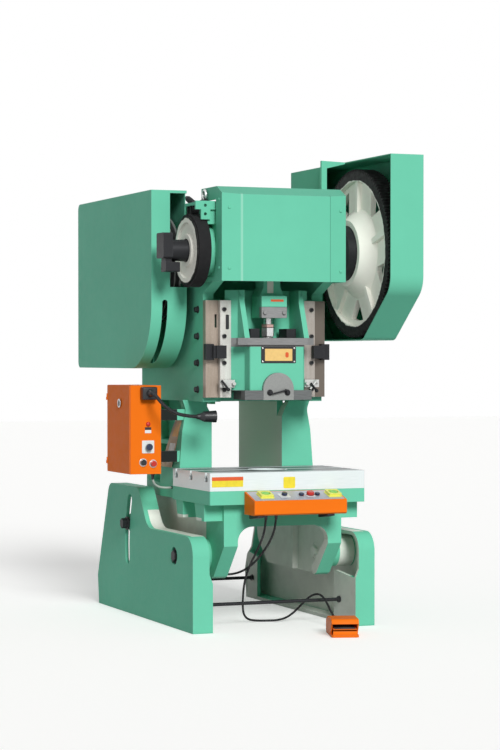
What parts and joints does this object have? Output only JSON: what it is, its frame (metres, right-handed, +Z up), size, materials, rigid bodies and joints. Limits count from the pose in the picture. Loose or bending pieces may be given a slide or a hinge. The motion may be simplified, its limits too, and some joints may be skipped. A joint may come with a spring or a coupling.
{
  "type": "mechanical stamping press",
  "caption": "Open-back inclinable mechanical press: C frame on two tilting legs, crank under a folded cover, geared flywheel drive, guided ram and a slotted table.",
  "frame": {"origin": "middle of the four floor anchor holes, on the floor", "axes": "+X to the operator's right, +Y to the back, +Z up"},
  "size_m": [1.164, 1.839, 2.106],
  "materials": {
    "green_paint": "satin enamel on castings",
    "green_sheet": "satin enamel on folded sheet",
    "orange_paint": "gloss powder coat",
    "table_steel": "ground and oiled",
    "bare_steel": "machined",
    "dark_steel": "blackened",
    "grey_iron": "machined and oiled",
    "gib_iron": "scraped",
    "ivory_iron": "enamelled casting",
    "bronze": "turned",
    "brake_lining": "woven lining",
    "belt_rubber": "matt",
    "cable_rubber": "matt",
    "pale_cable": "matt",
    "black_plastic": "moulded",
    "green_plastic": "moulded",
    "red_plastic": "moulded",
    "yellow_plastic": "moulded",
    "motor_paint": "hammer enamel"
  },
  "bodies": {
    "base": {"leg_left": "green_paint", "leg_right": "green_paint", "tie_rods": "dark_steel", "pivot_pins": "dark_steel", "foot_switch": "orange_paint", "pedal_cable": "cable_rubber"},
    "frame": {"frame_casting": "green_paint", "lock_bolts": "dark_steel", "table_plate": "table_steel", "gib_left": "gib_iron", "gib_right": "gib_iron", "gib_plates": "gib_iron", "guide_screws": "dark_steel", "knockout_stops": "dark_steel", "knockout_brackets": "dark_steel", "main_bushes": "bronze", "brake_band": "brake_lining", "brake_bracket": "green_paint", "shaft_bearings": "grey_iron", "drive_belts": "belt_rubber", "motor": "motor_paint", "motor_plate": "dark_steel", "belt_cover": "green_sheet", "gear_guard": "green_sheet", "crank_cover": "green_sheet", "eye_bolts": "dark_steel", "cabinet": "orange_paint", "lamp_arm": "black_plastic", "lamp_head": "black_plastic", "push_station": "orange_paint", "station_cable": "cable_rubber", "cabinet_cable": "pale_cable"},
    "gear": {"drive_gear": "ivory_iron"},
    "crank": {"crankshaft": "dark_steel", "brake_drum": "ivory_iron", "shaft_cam": "dark_steel", "clutch_hub": "ivory_iron"},
    "countershaft": {"pinion_shaft": "bare_steel", "flywheel": "grey_iron"},
    "motor_rotor": {"motor_pulley": "grey_iron"},
    "rod": {"conrod": "green_paint", "conrod_cap": "green_paint", "conrod_bolts": "dark_steel", "conrod_lock": "grey_iron"},
    "screw": {"ball_screw": "bare_steel"},
    "slide": {"ram": "grey_iron", "ball_seat": "bronze", "shank_clamp": "grey_iron"},
    "door": {"cabinet_door": "orange_paint"},
    "lock": {"door_lock": "black_plastic"},
    "switch": {"main_switch": "black_plastic"},
    "start": {"start_button": "green_plastic"},
    "halt": {"halt_button": "red_plastic"},
    "palm_left": {"palm_button_left": "green_plastic"},
    "mode": {"selector": "black_plastic"},
    "inch": {"inch_button": "green_plastic"},
    "stop": {"stop_button": "red_plastic"},
    "set": {"set_button": "yellow_plastic"},
    "palm_right": {"palm_button_right": "green_plastic"},
    "treadle": {"foot_pedal": "dark_steel"}
  },
  "joints": [
    {"name": "frame_tilt", "type": "hinge", "parent": "base", "child": "frame", "pos_m": [0, -0.421, 0.322], "axis": [-1, 0, 0], "range_deg": [0, 12]},
    {"name": "gear_spin", "type": "hinge", "parent": "frame", "child": "gear", "pos_m": [0, -0.46, 1.681], "axis": [1, 0, 0], "continuous": true},
    {"name": "countershaft_spin", "type": "hinge", "parent": "frame", "child": "countershaft", "pos_m": [0, -0.033, 1.61546], "axis": [1, 0, 0], "continuous": true},
    {"name": "motor_spin", "type": "hinge", "parent": "frame", "child": "motor_rotor", "pos_m": [0, 0.615, 1.31], "axis": [1, 0, 0], "continuous": true},
    {"name": "crank_turn", "type": "hinge", "parent": "frame", "child": "crank", "pos_m": [0, -0.46, 1.681], "axis": [1, 0, 0], "range_deg": [0, 180]},
    {"name": "conrod_pivot", "type": "hinge", "parent": "crank", "child": "rod", "pos_m": [0, -0.46, 1.731], "axis": [1, 0, 0], "range_deg": [-180, 0]},
    {"name": "ram_slide", "type": "slide", "parent": "frame", "child": "slide", "axis": [0, 0, 1], "range_m": [-0.1, 0]},
    {"name": "ball_screw_turn", "type": "hinge", "parent": "rod", "child": "screw", "pos_m": [0, -0.46, 1.265], "axis": [0, 0, 1], "range_deg": [-180, 180]},
    {"name": "cabinet_door_hinge", "type": "hinge", "parent": "frame", "child": "door", "pos_m": [-0.589, 0.064, 0.88], "axis": [0, 0, -1], "range_deg": [0, 110]},
    {"name": "door_lock_turn", "type": "hinge", "parent": "door", "child": "lock", "pos_m": [-0.589, -0.122, 0.998], "axis": [1, 0, 0], "range_deg": [0, 90]},
    {"name": "main_switch_turn", "type": "hinge", "parent": "frame", "child": "switch", "pos_m": [-0.502, -0.26, 0.803], "axis": [0, 1, 0], "range_deg": [0, 90]},
    {"name": "start_press", "type": "slide", "parent": "frame", "child": "start", "axis": [0, 1, 0], "range_m": [0, 0.004], "stiffness_N_per_m": 800, "springref_m": -0.004},
    {"name": "halt_press", "type": "slide", "parent": "frame", "child": "halt", "axis": [0, 1, 0], "range_m": [0, 0.004], "stiffness_N_per_m": 800, "springref_m": -0.004},
    {"name": "palm_left_press", "type": "slide", "parent": "frame", "child": "palm_left", "axis": [0, 0.288, -0.9576], "range_m": [0, 0.005], "stiffness_N_per_m": 800, "springref_m": -0.004},
    {"name": "inch_press", "type": "slide", "parent": "frame", "child": "inch", "axis": [0, 0.288, -0.9576], "range_m": [0, 0.005], "stiffness_N_per_m": 800, "springref_m": -0.004},
    {"name": "stop_press", "type": "slide", "parent": "frame", "child": "stop", "axis": [0, 0.288, -0.9576], "range_m": [0, 0.005], "stiffness_N_per_m": 800, "springref_m": -0.004},
    {"name": "set_press", "type": "slide", "parent": "frame", "child": "set", "axis": [0, 0.288, -0.9576], "range_m": [0, 0.005], "stiffness_N_per_m": 800, "springref_m": -0.004},
    {"name": "palm_right_press", "type": "slide", "parent": "frame", "child": "palm_right", "axis": [0, 0.288, -0.9576], "range_m": [0, 0.005], "stiffness_N_per_m": 800, "springref_m": -0.004},
    {"name": "selector_turn", "type": "hinge", "parent": "frame", "child": "mode", "pos_m": [-0.045, -0.76015, 0.601], "axis": [0, -0.288, 0.9576], "range_deg": [-45, 45]},
    {"name": "treadle_press", "type": "hinge", "parent": "base", "child": "treadle", "pos_m": [0.17465, -0.88344, 0.044], "axis": [0.9563, -0.2924, 0], "range_deg": [0, 9], "stiffness_Nm_per_rad": 8, "springref_deg": -8.59}
  ],
  "couplings": [
    {"joint": "countershaft_spin", "follows": "gear_spin", "ratio": -7},
    {"joint": "motor_spin", "follows": "gear_spin", "ratio": -29.875},
    {"joint": "conrod_pivot", "follows": "crank_turn", "ratio": -1},
    {"joint": "ram_slide", "follows": "crank_turn", "m_per_rad": -0.031831}
  ]
}
